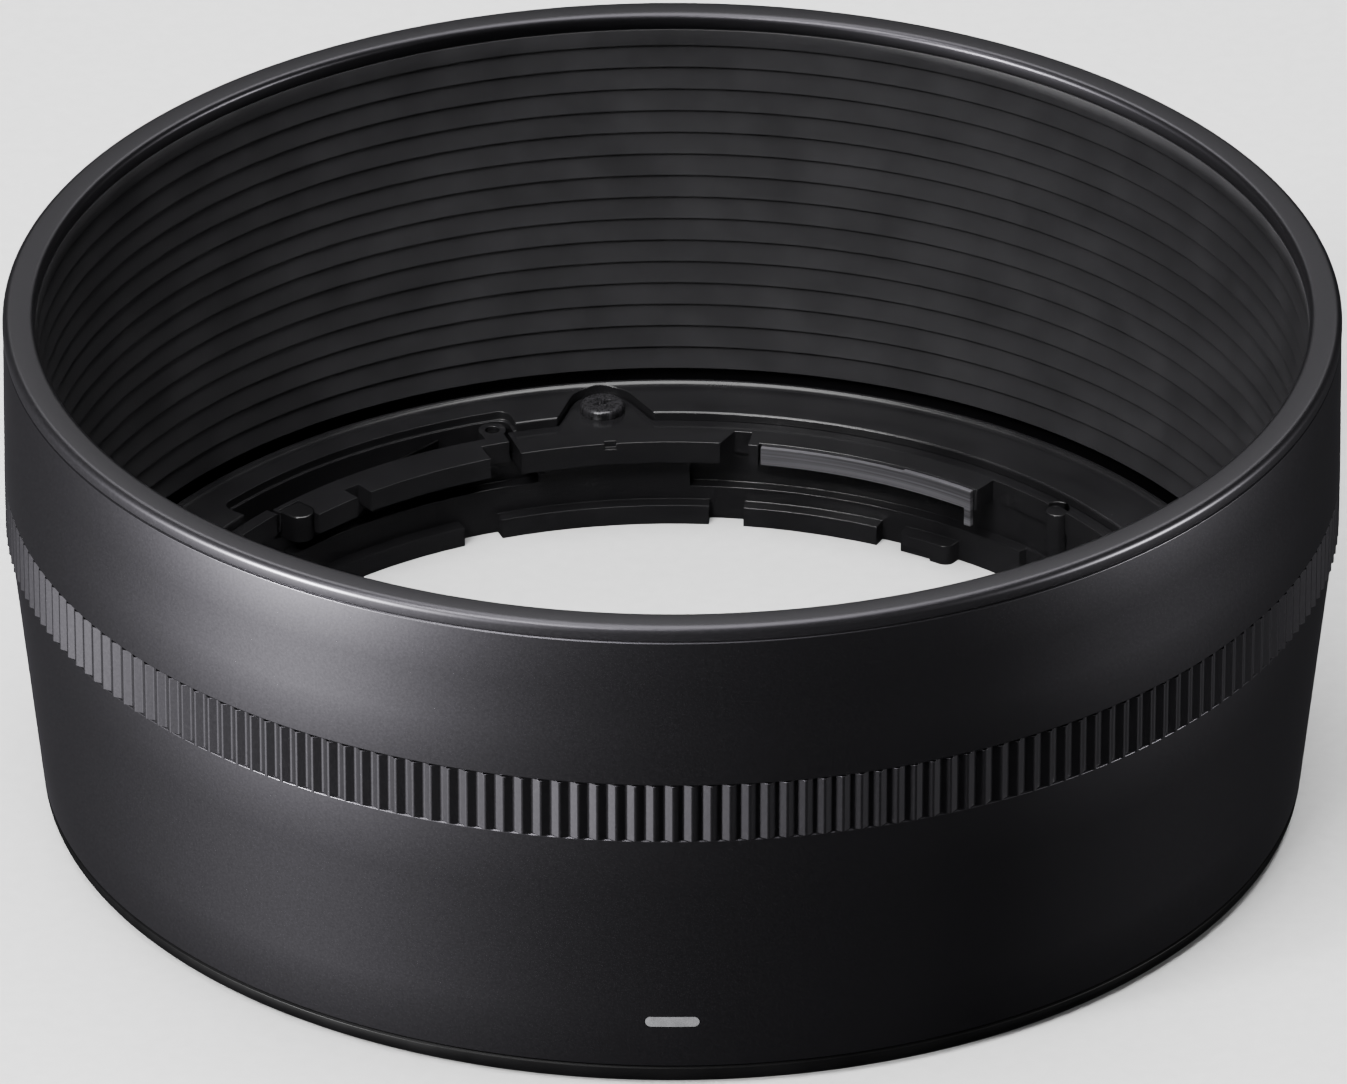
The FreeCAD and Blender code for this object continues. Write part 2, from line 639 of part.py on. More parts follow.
def bayonet_ring():
    """Three flange segments over a groove, open channels between them, tabs below."""
    body = bayonet_section()
    for n in range(SEGMENTS):
        for block in segment_additions():
            body = body.fuse(turned(block, n * SEGMENT_PITCH))
    for n in range(SEGMENTS):
        for block in segment_cuts():
            body = body.cut(turned(block, n * SEGMENT_PITCH))
    for bearing in screw_bearings():
        body = body.fuse(turned(ear(0.0, EAR_BOTTOM_Z, FLANGE_TOP_Z), bearing))
        hole = post(EAR_HOLE_R, SCREW_CIRCLE_R, bearing, EAR_BOTTOM_Z - PAST, FLANGE_TOP_Z + PAST)
        body = body.cut(hole)
    arm_room = sector(FLANGE_R - PAST, BAYONET_R + PAST, ARM_FOOT_START - ARM_SIDE_GAP,
                      ARM_FREE_END + ARM_SIDE_GAP, FLANGE_BOTTOM_Z - SLIP, FLANGE_TOP_Z + PAST)
    nub_room = sector(LOWER_RING_R - PAST, BAYONET_R + PAST, NUB_BEARING - NUB_ROOM,
                      NUB_BEARING + NUB_ROOM, NUB_BOTTOM_Z - NUB_ROOM_BELOW, FLANGE_TOP_Z)
    pillar_seat = post(PILLAR_R + SEAM, PILLAR_CIRCLE_R, STOP_PILLAR_BEARING, ENTRY_FLOOR_Z,
                       FLANGE_TOP_Z + PAST)
    return body.cut(arm_room).cut(nub_room).cut(pillar_seat).removeSplitter()


def stop_pillar():
    """Half-round post set into the channel wall, which ends a lug's way in."""
    round_post = post(PILLAR_R, PILLAR_CIRCLE_R, STOP_PILLAR_BEARING, ENTRY_FLOOR_Z + SLIP,
                      PILLAR_TOP_Z)
    keep = sector(FLANGE_R, PILLAR_BACK_R, STOP_PILLAR_BEARING - PILLAR_HALF_SPAN,
                  STOP_PILLAR_BEARING + PILLAR_HALF_SPAN, ENTRY_FLOOR_Z, FLANGE_TOP_Z)
    return round_post.common(keep)


# ---- click mechanism ----------------------------------------------------------------
def nub_outline(gap):
    """Upright block of the nub: a round nose on a straight-sided foot."""
    nose = NUB_REACH_R + NUB_R
    radius = NUB_R + gap
    rounded = post(radius, nose, NUB_BEARING, NUB_BOTTOM_Z, ARM_TOP_Z + gap)
    foot = Part.makeBox(2 * radius, NUB_FOOT_R + gap - nose, ARM_TOP_Z + gap - NUB_BOTTOM_Z,
                        V(-radius, -NUB_FOOT_R - gap, NUB_BOTTOM_Z))
    return rounded.fuse(turned(foot, NUB_BEARING))


def rivet_holes(radius):
    """Radial holes through the leaf's pad into the arm."""
    z = (LEAF_BOTTOM_Z + LEAF_TOP_Z) / 2.0
    holes = []
    for bearing in RIVET_BEARINGS:
        out = polar(1.0, bearing)
        foot = polar(ARM_OUTER_R - RIVET_HOLE_DEPTH, bearing, z)
        holes.append(Part.makeCylinder(radius, RIVET_HOLE_LENGTH, foot, out))
    return holes


def click_arm():
    """Curved arm that is part of the flange's edge and swings about its knuckle."""
    tip_start = ARM_FREE_END - ARM_TIP
    plate = sector(FLANGE_R + SLIP, ARM_OUTER_R, ARM_NOTCH_START, tip_start + INTO,
                   ARM_BOTTOM_Z, ARM_TOP_Z)
    tip = sector(CHANNEL_R, ARM_OUTER_R, tip_start, ARM_FREE_END, ARM_BOTTOM_Z, ARM_TOP_Z)
    foot = sector(ARM_NOTCH_R, ARM_OUTER_R, ARM_FOOT_START, ARM_NOTCH_START + INTO,
                  ARM_BOTTOM_Z, ARM_TOP_Z)
    web = sector(ARM_OUTER_R - WEB_DEPTH, PIVOT_R, PIVOT_BEARING - WEB_BEFORE,
                 PIVOT_BEARING + WEB_AFTER, ARM_BOTTOM_Z, ARM_TOP_Z)
    knuckle = post(KNUCKLE_R, PIVOT_R, PIVOT_BEARING, ARM_BOTTOM_Z, ARM_TOP_Z)
    body = plate.fuse([tip, foot, web, knuckle])
    slot = sector(FLANGE_R - PAST, SLOT_R, SLOT_START, SLOT_END,
                  ARM_BOTTOM_Z - PAST, ARM_TOP_Z + PAST)
    hole = post(PIN_HOLE_R, PIVOT_R, PIVOT_BEARING, ARM_BOTTOM_Z - PAST, ARM_TOP_Z + PAST)
    body = body.cut(slot).cut(hole).cut(nub_outline(SLIP))
    for drilled in rivet_holes(RIVET_R + SLIP):
        body = body.cut(drilled)
    return body.removeSplitter()


def click_nub():
    """Hard nub that a lens lug rides over."""
    nub = nub_outline(0.0)
    nose = [e for e in nub.Edges if abs(e.CenterOfMass.z - ARM_TOP_Z) < 1e-6]
    return nub.makeChamfer(NUB_CHAMFER, nose)


def click_pin():
    """Pivot pin, standing in the floor of the seat's pocket."""
    pin = post(PIN_R, PIVOT_R, PIVOT_BEARING, POCKET_FLOOR_Z - PIN_DEPTH, ARM_TOP_Z - PIN_BELOW)
    top = [e for e in pin.Edges if abs(e.CenterOfMass.z - pin.BoundBox.ZMax) < 1e-6]
    return pin.makeChamfer(PIN_CHAMFER, top)


def click_spring():
    """Leaf: a pad on the arm's back, and a tongue that leans out to the pocket's wall."""
    inner = ARM_OUTER_R + SLIP
    outer = inner + LEAF_T
    bend = LEAF_PAD_START - LEAF_BEND
    pad = sector(inner, outer, bend, LEAF_PAD_END, LEAF_BOTTOM_Z, LEAF_TOP_Z)
    middle = (bend + LEAF_TIP) / 2.0
    middle_r = (inner + LEAF_TIP_R) / 2.0 - LEAF_BOW
    tongue_edges = [
        arc(polar(inner, bend), polar(middle_r, middle), polar(LEAF_TIP_R, LEAF_TIP)),
        line(polar(LEAF_TIP_R, LEAF_TIP), polar(LEAF_TIP_R + LEAF_T, LEAF_TIP)),
        arc(polar(LEAF_TIP_R + LEAF_T, LEAF_TIP), polar(middle_r + LEAF_T, middle), polar(outer, bend)),
        line(polar(outer, bend), polar(inner, bend)),
    ]
    tongue = Part.Face(Part.Wire(tongue_edges)).extrude(V(0, 0, LEAF_TOP_Z - LEAF_BOTTOM_Z))
    tongue.translate(V(0, 0, LEAF_BOTTOM_Z))
    leaf = pad.fuse(tongue)
    for drilled in rivet_holes(RIVET_R + SLIP):
        leaf = leaf.cut(drilled)
    return leaf


def spring_rivets():
    """Two small rivets that hold the leaf to the arm."""
    z = (LEAF_BOTTOM_Z + LEAF_TOP_Z) / 2.0
    foot_r = ARM_OUTER_R - RIVET_DEPTH
    head_r = ARM_OUTER_R + LEAF_T + 2 * SLIP
    rivets = []
    for bearing in RIVET_BEARINGS:
        out = polar(1.0, bearing)
        shank = Part.makeCylinder(RIVET_R, head_r + SEAM - foot_r, polar(foot_r, bearing, z), out)
        head = Part.makeCylinder(RIVET_HEAD_R, RIVET_HEAD_H, polar(head_r, bearing, z), out)
        rivets.append(shank.fuse(head).removeSplitter())
    return Part.makeCompound(rivets)


# ---- friction spring ----------------------------------------------------------------
def friction_strip():
    """Thin strip on a flange segment's inner face, with a bent tab at one end."""
    outer = FLANGE_R + STRIP_T
    high = sector(FLANGE_R, outer, STRIP_START, STRIP_STEP, STRIP_BOTTOM_Z, STRIP_TOP_Z)
    low = sector(FLANGE_R, outer, STRIP_STEP - STRIP_LAP, STRIP_END, STRIP_BOTTOM_Z, STRIP_LOW_TOP_Z)
    tab = sector(FLANGE_R, outer, STRIP_START, STRIP_START + STRIP_TAB_W,
                 STRIP_TAB_Z, STRIP_BOTTOM_Z + STRIP_LAP)
    return high.fuse([low, tab]).removeSplitter()


def friction_springs():
    """One strip on each flange segment."""
    return Part.makeCompound([turned(friction_strip(), n * SEGMENT_PITCH) for n in range(SEGMENTS)])


NODES = {
    "front_rim": front_rim,
    "front_barrel": front_barrel,
    "grip_ring": grip_ring,
    "rear_skirt": rear_skirt,
    "index_mark": index_mark,
    "base_ring": base_ring,
    "light_trap_sleeve": light_trap_sleeve,
    "mount_seat": mount_seat,
    "bayonet_ring": bayonet_ring,
    "mount_screws": mount_screws,
    "stop_pillar": stop_pillar,
    "friction_springs": friction_springs,
    "click_arm": click_arm,
    "click_nub": click_nub,
    "click_pin": click_pin,
    "click_spring": click_spring,
    "spring_rivets": spring_rivets,
}


def main():
    os.makedirs("parts", exist_ok=True)
    for name, make in NODES.items():
        make().exportStep(os.path.join("parts", name + ".step"))


main()
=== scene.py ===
"""Looks of the bayonet lens hood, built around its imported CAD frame.

Metres, in the frame's own axes: +Z towards the mouth, -Y towards the index mark.  The turned
rings are lathed again from their CAD sections with eased corners, and the knurl is built rib by
rib.  The nub, screws, pillar and springs are their CAD meshes with eased edges.  The mount seat,
bayonet ring and click arm are their CAD meshes shaded smooth, and their shaders round the edges.
"""
import json
import math

import bmesh
import bpy
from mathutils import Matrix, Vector

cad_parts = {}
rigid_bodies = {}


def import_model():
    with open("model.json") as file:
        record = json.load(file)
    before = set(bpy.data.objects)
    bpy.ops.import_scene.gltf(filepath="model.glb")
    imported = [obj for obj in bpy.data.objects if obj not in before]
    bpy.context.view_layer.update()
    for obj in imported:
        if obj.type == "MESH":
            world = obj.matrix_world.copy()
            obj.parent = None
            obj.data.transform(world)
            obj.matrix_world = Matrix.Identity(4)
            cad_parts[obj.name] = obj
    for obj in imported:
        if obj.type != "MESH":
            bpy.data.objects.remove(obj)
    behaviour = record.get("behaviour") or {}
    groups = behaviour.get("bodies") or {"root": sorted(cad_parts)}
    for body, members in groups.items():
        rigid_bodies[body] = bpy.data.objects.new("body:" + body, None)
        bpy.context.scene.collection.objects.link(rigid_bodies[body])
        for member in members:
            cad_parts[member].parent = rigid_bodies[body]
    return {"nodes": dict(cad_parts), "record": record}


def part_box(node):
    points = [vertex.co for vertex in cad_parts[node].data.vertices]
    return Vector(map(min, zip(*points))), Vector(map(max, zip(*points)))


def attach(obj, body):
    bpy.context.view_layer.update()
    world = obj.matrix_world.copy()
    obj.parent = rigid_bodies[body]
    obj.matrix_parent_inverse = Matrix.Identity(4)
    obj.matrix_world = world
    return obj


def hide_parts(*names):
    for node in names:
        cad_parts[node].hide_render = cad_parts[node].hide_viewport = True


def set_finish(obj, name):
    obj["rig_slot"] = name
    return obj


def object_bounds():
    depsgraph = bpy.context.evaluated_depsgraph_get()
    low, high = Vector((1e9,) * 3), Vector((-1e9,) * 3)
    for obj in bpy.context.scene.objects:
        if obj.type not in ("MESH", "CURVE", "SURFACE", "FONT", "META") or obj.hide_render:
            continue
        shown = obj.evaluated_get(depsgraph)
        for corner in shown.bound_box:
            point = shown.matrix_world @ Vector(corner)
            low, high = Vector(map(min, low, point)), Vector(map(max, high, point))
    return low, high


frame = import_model()
cad_low, cad_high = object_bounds()
MM = 0.001

# ---- camera and stage -----------------------------------------------------------------
CAMERA_SENSOR = 36.0         # width, in mm
CAMERA_LENS = 402.3          # focal length, in mm
CAMERA_PITCH = 28.825        # degrees above the horizon
CAMERA_DISTANCE = 1001.0 * MM
CAMERA_AIM_Z = 16.99 * MM
CAMERA_SHIFT_X = 0.00087
CAMERA_CLIP = (0.05, 20.0)
LIGHT_AIM_Z = 0.015
# name: bearing and elevation in degrees, distance, width, height, power in watts
SOFTBOXES = {
    "key_left": (-60.5, 1.0, 0.90, 0.14, 0.05, 84.0),
    "fill_right": (82.0, 1.0, 0.90, 0.18, 0.05, 13.5),
    "front_left": (-34.0, 46.0, 1.00, 0.50, 0.30, 13.0),
    "front_high": (0.0, 64.0, 1.00, 0.50, 0.25, 1.5),
    "overhead": (0.0, 88.0, 1.30, 1.00, 1.00, 22.0),
    "back_left": (-150.0, 55.0, 1.40, 0.50, 0.50, 5.0),
    "back_right": (150.0, 55.0, 1.40, 0.50, 0.50, 4.0),
    "back_high": (180.0, 40.0, 1.20, 1.00, 0.30, 1.8),
}
SKY_COLOUR = (0.9, 0.92, 1.0, 1.0)
SKY_STRENGTH = 0.02
FLOOR_SIZE = 12.0
FLOOR_GAP = 0.02 * MM        # the floor lies this far below the hood, so the two never mix

# ---- mesh detail ----------------------------------------------------------------------
LATHE_STEPS = 720
ROUND_STEPS = 3              # segments in an eased corner of a section
CORNER_DEGREES = 20.0        # a section turns more than this only at a corner
CORNER_SHARE = 0.45          # share of a side that one eased corner may take
SEAM_TOLERANCE = 1e-8        # how far off the XZ plane a vertex of the seam may lie
SEAM_DIGITS = 7              # places that tell two points of the seam apart
EDGE_SEGMENTS = 2            # segments in an eased edge of a mesh
MERGE_DISTANCE = 1e-6
FLAT_DEGREES = 0.5           # faces that meet more flatly than this are merged
SHARP_DEGREES = 28.0         # edges of the mount's pieces that are sharper are kept or eased
RING_SHARP_DEGREES = 35.0    # the same for the turned rings
RIB_SHARP_DEGREES = 40.0     # the same for the knurl
EDGE_SAMPLES = 8             # rays with which a shader rounds an edge

# node: radius of the eased corners
RING_EASE = {
    "front_rim": 0.06 * MM,
    "front_barrel": 0.05 * MM,
    "rear_skirt": 0.05 * MM,
    "base_ring": 0.05 * MM,
    "light_trap_sleeve": 0.08 * MM,
}
SMOOTH_NODES = ("mount_seat", "bayonet_ring", "click_arm")
# node: radius of the eased edges
EDGE_EASE = {
    "click_nub": 0.08 * MM,
    "mount_screws": 0.03 * MM,
    "stop_pillar": 0.10 * MM,
    "friction_springs": 0.02 * MM,
}

RECESS_GAP = 0.06 * MM       # room round the index mark
RECESS_BEHIND = 0.04 * MM    # room behind it
RECESS_STEPS = 24            # segments in each round end
CUTTER_REACH = 1.0 * MM      # how far the cutter stands out of the skirt

BODY_OF = {n: body for body, nodes in frame["record"]["behaviour"]["bodies"].items() for n in nodes}
SLOT_OF = {s["node"]: s["material_slot"] for s in frame["record"]["subparts"]}


# ---- small mesh helpers -----------------------------------------------------------------
def new_piece(name, mesh, slot, node):
    """Adds a mesh that stands for a CAD node: same body, same material slot."""
    piece = bpy.data.objects.new(name, mesh)
    bpy.context.scene.collection.objects.link(piece)
    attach(piece, BODY_OF[node])
    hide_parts(node)
    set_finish(piece, slot)
    return piece


def shade_smooth(mesh, sharp_degrees=RING_SHARP_DEGREES):
    """Shades a mesh smooth, except across edges sharper than an angle."""
    limit = math.radians(sharp_degrees)
    mesh.shade_smooth()
    bm = bmesh.new()
    bm.from_mesh(mesh)
    for edge in bm.edges:
        edge.smooth = len(edge.link_faces) == 2 and edge.calc_face_angle() < limit
    bm.to_mesh(mesh)
    bm.free()


def seam_section(node):
    """The closed (radius, height) outline of a turned node, read where its mesh crosses +X."""
    mesh = frame["nodes"][node].data
    key = {}
    for vertex in mesh.vertices:
        x, y, z = vertex.co
        if x > 0 and abs(y) < SEAM_TOLERANCE:
            key[vertex.index] = (round(x, SEAM_DIGITS), round(z, SEAM_DIGITS))
    links = {}
    for edge in mesh.edges:
        a, b = (key.get(i) for i in edge.vertices)
        if a and b and a != b:
            links.setdefault(a, set()).add(b)
            links.setdefault(b, set()).add(a)
    start = min(links)
    outline = [start]
    last, here = None, start
    while True:
        onward = [p for p in links[here] if p != last]
        last, here = here, onward[0]
        if here == start:
            return outline
        outline.append(here)


def eased(outline, radius):
    """An outline with its sharp corners rounded to a radius, or less beside a short side."""
    points = [Vector(p) for p in outline]
    result = []
    for i, point in enumerate(points):
        before = points[i - 1] - point
        after = points[(i + 1) % len(points)] - point
        turn = math.pi - before.angle(after)
        if math.degrees(turn) < CORNER_DEGREES:
            result.append(point)
            continue
        longest = CORNER_SHARE * min(before.length, after.length)
        reach = min(radius * math.tan(turn / 2), longest)
        start = point + before.normalized() * reach
        end = point + after.normalized() * reach
        for step in range(ROUND_STEPS + 1):
            t = step / ROUND_STEPS
            result.append(start * (1 - t) ** 2 + point * 2 * t * (1 - t) + end * t ** 2)
    return result


def lathe(name, outline):
    """A closed ring mesh from a closed (radius, height) outline."""
    count = len(outline)
    vertices = []
    for step in range(LATHE_STEPS):
        angle = 2 * math.pi * step / LATHE_STEPS
        vertices += [(r * math.cos(angle), r * math.sin(angle), z) for r, z in outline]
    faces = []
    for step in range(LATHE_STEPS):
        here = step * count
        there = (step + 1) % LATHE_STEPS * count
        for i in range(count):
            j = (i + 1) % count
            faces.append((here + i, there + i, there + j, here + j))
    mesh = bpy.data.meshes.new(name)
    mesh.from_pydata(vertices, [], faces)
    outward(mesh)
    return mesh


def outward(mesh):
    """Turns every face's normal to the outside."""
    bm = bmesh.new()
    bm.from_mesh(mesh)
    bmesh.ops.recalc_face_normals(bm, faces=bm.faces)
    bm.to_mesh(mesh)
    bm.free()


def turned_piece(node, radius):
    """Replaces a turned node by a finer ring with eased corners."""
    mesh = lathe(node + "_turned", eased(seam_section(node), radius))
    shade_smooth(mesh)
    return new_piece(node + "_turned", mesh, SLOT_OF[node], node)


def plain_piece(node):
    """Replaces a node by its own mesh, shaded smooth between its sharp edges."""
    mesh = frame["nodes"][node].data.copy()
    shade_smooth(mesh, SHARP_DEGREES)
    return new_piece(node + "_smooth", mesh, SLOT_OF[node], node)


def eased_piece(node, radius):
    """Replaces a node by its own mesh with every sharp edge rounded over."""
    flat, sharp = math.radians(FLAT_DEGREES), math.radians(SHARP_DEGREES)
    bm = bmesh.new()
    bm.from_mesh(frame["nodes"][node].data)
    bmesh.ops.remove_doubles(bm, verts=bm.verts, dist=MERGE_DISTANCE)
    bmesh.ops.dissolve_limit(bm, angle_limit=flat, verts=bm.verts, edges=bm.edges)
    edges = [e for e in bm.edges if len(e.link_faces) == 2 and e.calc_face_angle() > sharp]
    bmesh.ops.bevel(bm, geom=edges, offset=radius, offset_type="OFFSET", segments=EDGE_SEGMENTS,
                    profile=0.5, affect="EDGES", clamp_overlap=True)
    mesh = bpy.data.meshes.new(node + "_eased")
    bm.to_mesh(mesh)
    bm.free()
    shade_smooth(mesh)
    piece = new_piece(node + "_eased", mesh, SLOT_OF[node], node)
    normals = piece.modifiers.new("normals", "WEIGHTED_NORMAL")
    normals.keep_sharp = True


# ---- materials --------------------------------------------------------------------------
# noise scales, per metre
SPARKLE_SCALE = 7000.0       # glitter in the anodising's colour
SATIN_SCALE = 6000.0         # the anodising's uneven gloss
BLAST_SCALE = 5200.0         # its bead-blasted grain
FLOW_SCALE = 220.0           # flow mottling in moulded plastic
SPARK_SCALE = 4200.0         # its spark-eroded grain
SKIN_SCALE = 1800.0          # skin of the mark's paint
PAPER_SCALE = 900.0

NOISE_LOW, NOISE_HIGH = 0.3, 0.7    # the range that nearly all of a noise lies in
VIOLET = 0.06                # how much more blue than red a dark neutral has
SHEEN_TINT = (0.93, 0.89, 1.0, 1.0)
SATIN_SPREAD = 0.012         # swing of the roughness, each way
PLASTIC_SPREAD = 0.04
STEEL_SPREAD = 0.04
STEEL_METALLIC = 0.6
LINE_DEPTH = 0.002 * MM
SKIN_DEPTH = 0.006 * MM
PAPER_DEPTH = 0.01 * MM
PAINT_DARK, PAINT_LIGHT = (0.040, 0.040, 0.042), (0.050, 0.050, 0.053)
PAPER_DARK, PAPER_LIGHT = (0.80, 0.80, 0.80), (0.84, 0.84, 0.84)

# slot: grey level, roughness, specular level, grain depth
ANODISED = {
    "rim_finish": (0.0015, 0.35, 0.53, 0.0008 * MM),
    "barrel_finish": (0.0005, 0.34, 0.53, 0.0008 * MM),
    "grip_finish": (0.0010, 0.36, 0.42, 0.0010 * MM),
    "skirt_finish": (0.0005, 0.34, 0.53, 0.0008 * MM),
}
# slot: grey level, roughness, specular level, grain depth, radius of the shaded edges
MOULDED = {
    "base_plastic": (0.001, 0.42, 0.06, 0.001 * MM, None),
    "trap_plastic": (0.021, 0.55, 0.32, 0.004 * MM, None),
    "mount_plastic": (0.010, 0.24, 0.55, 0.001 * MM, 0.12 * MM),
    "bayonet_plastic": (0.009, 0.20, 0.60, 0.0006 * MM, 0.11 * MM),
    "nub_plastic": (0.006, 0.22, 0.55, 0.001 * MM, None),
}
# slot: grey level, roughness, specular level, noise scales that draw the lines
STEEL = {
    "screw_steel": (0.045, 0.28, 0.5, (4000.0, 4000.0, 400.0)),
    "spring_strip": (0.130, 0.42, 0.5, (25.0, 25.0, 5000.0)),
    "pin_steel": (0.006, 0.45, 0.3, (5000.0, 5000.0, 500.0)),
    "leaf_steel": (0.006, 0.45, 0.3, (500.0, 500.0, 8000.0)),
}


class Look:
    """A node material that starts as a Principled shader fed by object coordinates."""

    def __init__(self, name):
        self.material = bpy.data.materials.new(name)
        self.material.use_nodes = True
        self.nodes = self.material.node_tree.nodes
        self.links = self.material.node_tree.links
        self.shader = self.nodes["Principled BSDF"]
        self.where = self.nodes.new("ShaderNodeTexCoord").outputs["Object"]

    def link(self, output, socket):
        self.links.new(output, socket)

    def noise(self, scale, detail=2.0, roughness=0.5, where=None):
        node = self.nodes.new("ShaderNodeTexNoise")
        node.inputs["Scale"].default_value = scale
        node.inputs["Detail"].default_value = detail
        node.inputs["Roughness"].default_value = roughness
        self.link(where or self.where, node.inputs["Vector"])
        return node.outputs["Fac"]

    def stretched(self, x, y, z):
        """Object coordinates scaled along each axis."""
        node = self.nodes.new("ShaderNodeMapping")
        node.inputs["Scale"].default_value = (x, y, z)
        self.link(self.where, node.inputs["Vector"])
        return node.outputs["Vector"]

    def ramp(self, value, stops):
        """A colour ramp from (position, colour) stops."""
        node = self.nodes.new("ShaderNodeValToRGB")
        elements = node.color_ramp.elements
        while len(elements) < len(stops):
            elements.new(0.5)
        for element, (position, colour) in zip(elements, stops):
            element.position = position
            element.color = (*colour, 1.0)
        self.link(value, node.inputs["Fac"])
        return node.outputs["Color"]

    def spread(self, value, low, high):
        """Maps the usual range of a noise to a low and a high value."""
        node = self.nodes.new("ShaderNodeMapRange")
        node.inputs["From Min"].default_value = NOISE_LOW
        node.inputs["From Max"].default_value = NOISE_HIGH
        node.inputs["To Min"].default_value = low
        node.inputs["To Max"].default_value = high
        self.link(value, node.inputs["Value"])
        return node.outputs["Result"]

    def bump(self, height, distance, under=None):
        """The normal that a height makes, on top of an earlier normal if there is one."""
        node = self.nodes.new("ShaderNodeBump")
        node.inputs["Distance"].default_value = distance
        node.inputs["Strength"].default_value = 1.0
        self.link(height, node.inputs["Height"])
        if under is not None:
            self.link(under, node.inputs["Normal"])
        return node.outputs["Normal"]

    def rounded(self, radius):
        """The surface normal as if every sharp edge were rounded to a radius."""
        node = self.nodes.new("ShaderNodeBevel")
        node.samples = EDGE_SAMPLES
        node.inputs["Radius"].default_value = radius
        return node.outputs["Normal"]

    def finish(self, colour, roughness, normal, specular):
        """Connects the shader and hands over the material."""
        self.link(colour, self.shader.inputs["Base Color"])
        self.link(roughness, self.shader.inputs["Roughness"])
        self.link(normal, self.shader.inputs["Normal"])
        self.shader.inputs["Specular IOR Level"].default_value = specular
        return self.material


def grey(level):
    """A dark neutral with a slight violet tint."""
    return (level, level * (1 - VIOLET / 2), level * (1 + VIOLET))


def anodised(name, level, roughness, specular, grain):
    """Bead-blasted black anodising: a fine glittering grain, with a violet cast in its sheen."""
    look = Look(name)
    sparkle = look.noise(SPARKLE_SCALE, detail=1.0)
    stops = [(0.25, grey(level * 0.6)), (0.5, grey(level)), (0.8, grey(level * 2.2))]
    colour = look.ramp(sparkle, stops)
    satin = look.noise(SATIN_SCALE)
    rough = look.spread(satin, roughness - SATIN_SPREAD, roughness + SATIN_SPREAD)
    look.shader.inputs["Specular Tint"].default_value = SHEEN_TINT
    normal = look.bump(look.noise(BLAST_SCALE), grain)
    return look.finish(colour, rough, normal, specular)


def moulded(name, level, roughness, specular, grain, edge):
    """Spark-eroded black plastic with faint flow mottling and, for an edge radius, soft edges."""
    look = Look(name)
    flow = look.noise(FLOW_SCALE, detail=4.0, roughness=0.6)
    stops = [(NOISE_LOW, grey(level * 0.8)), (NOISE_HIGH, grey(level * 1.25))]
    colour = look.ramp(flow, stops)
    rough = look.spread(flow, roughness - PLASTIC_SPREAD, roughness + PLASTIC_SPREAD)
    soft = look.rounded(edge) if edge else None
    normal = look.bump(look.noise(SPARK_SCALE, detail=3.0), grain, under=soft)
    return look.finish(colour, rough, normal, specular)


def steel(name, level, roughness, specular, line_scales):
    """Blackened steel with fine drawn lines, which run along the axes of the smallest scale."""
    look = Look(name)
    lines = look.noise(1.0, detail=3.0, where=look.stretched(*line_scales))
    colour = look.ramp(lines, [(0.35, grey(level * 0.5)), (0.65, grey(level * 1.5))])
    rough = look.spread(lines, roughness - STEEL_SPREAD, roughness + STEEL_SPREAD)
    look.shader.inputs["Metallic"].default_value = STEEL_METALLIC
    return look.finish(colour, rough, look.bump(lines, LINE_DEPTH), specular)


def painted_mark(name):
    """Light grey paint filled into the recess, with a faintly uneven skin."""
    look = Look(name)
    skin = look.noise(SKIN_SCALE, detail=3.0)
    colour = look.ramp(skin, [(NOISE_LOW, PAINT_DARK), (NOISE_HIGH, PAINT_LIGHT)])
    rough = look.spread(skin, 0.50, 0.60)
    return look.finish(colour, rough, look.bump(skin, SKIN_DEPTH), specular=0.2)


def all_looks():
    """One material for each slot of the record."""
    looks = {slot: anodised(slot, *values) for slot, values in ANODISED.items()}
    looks |= {slot: moulded(slot, *values) for slot, values in MOULDED.items()}
    looks |= {slot: steel(slot, *values) for slot, values in STEEL.items()}
    looks["mark_paint"] = painted_mark("mark_paint")
    return looks


def paint_everything():
    """Gives each shown node and piece the look of its record slot."""
    looks = all_looks()
    painted = [(frame["nodes"][node], SLOT_OF[node]) for node in SLOT_OF]
    painted += [(o, o["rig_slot"]) for o in bpy.data.objects if "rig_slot" in o]
    for obj, slot in painted:
        obj.data.materials.clear()
        obj.data.materials.append(looks[slot])


# ---- turned rings -----------------------------------------------------------------------
def index_recess_cutter():
    """The pill-shaped recess round the index mark, as a solid to cut with."""
    low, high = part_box("index_mark")
    radius = (high.z - low.z) / 2 + RECESS_GAP
    half = (high.x - low.x) / 2 + RECESS_GAP - radius
    centre_z = (high.z + low.z) / 2
    rim = []
    for side in (1, -1):
        for step in range(RECESS_STEPS + 1):
            angle = math.pi * (step / RECESS_STEPS - 0.5)
            x = side * (half + radius * math.cos(angle))
            z = centre_z + side * radius * math.sin(angle)
            rim.append((x, z))
    front_y, floor_y = low.y - CUTTER_REACH, high.y + RECESS_BEHIND
    mesh = bpy.data.meshes.new("cutter")
    count = len(rim)
    vertices = [(x, front_y, z) for x, z in rim] + [(x, floor_y, z) for x, z in rim]
    faces = [tuple(range(count)), tuple(reversed(range(count, 2 * count)))]
    faces += [(i, i + count, (i + 1) % count + count, (i + 1) % count) for i in range(count)]
    mesh.from_pydata(vertices, [], faces)
    outward(mesh)
    cutter = bpy.data.objects.new("cutter", mesh)
    bpy.context.scene.collection.objects.link(cutter)
    return cutter


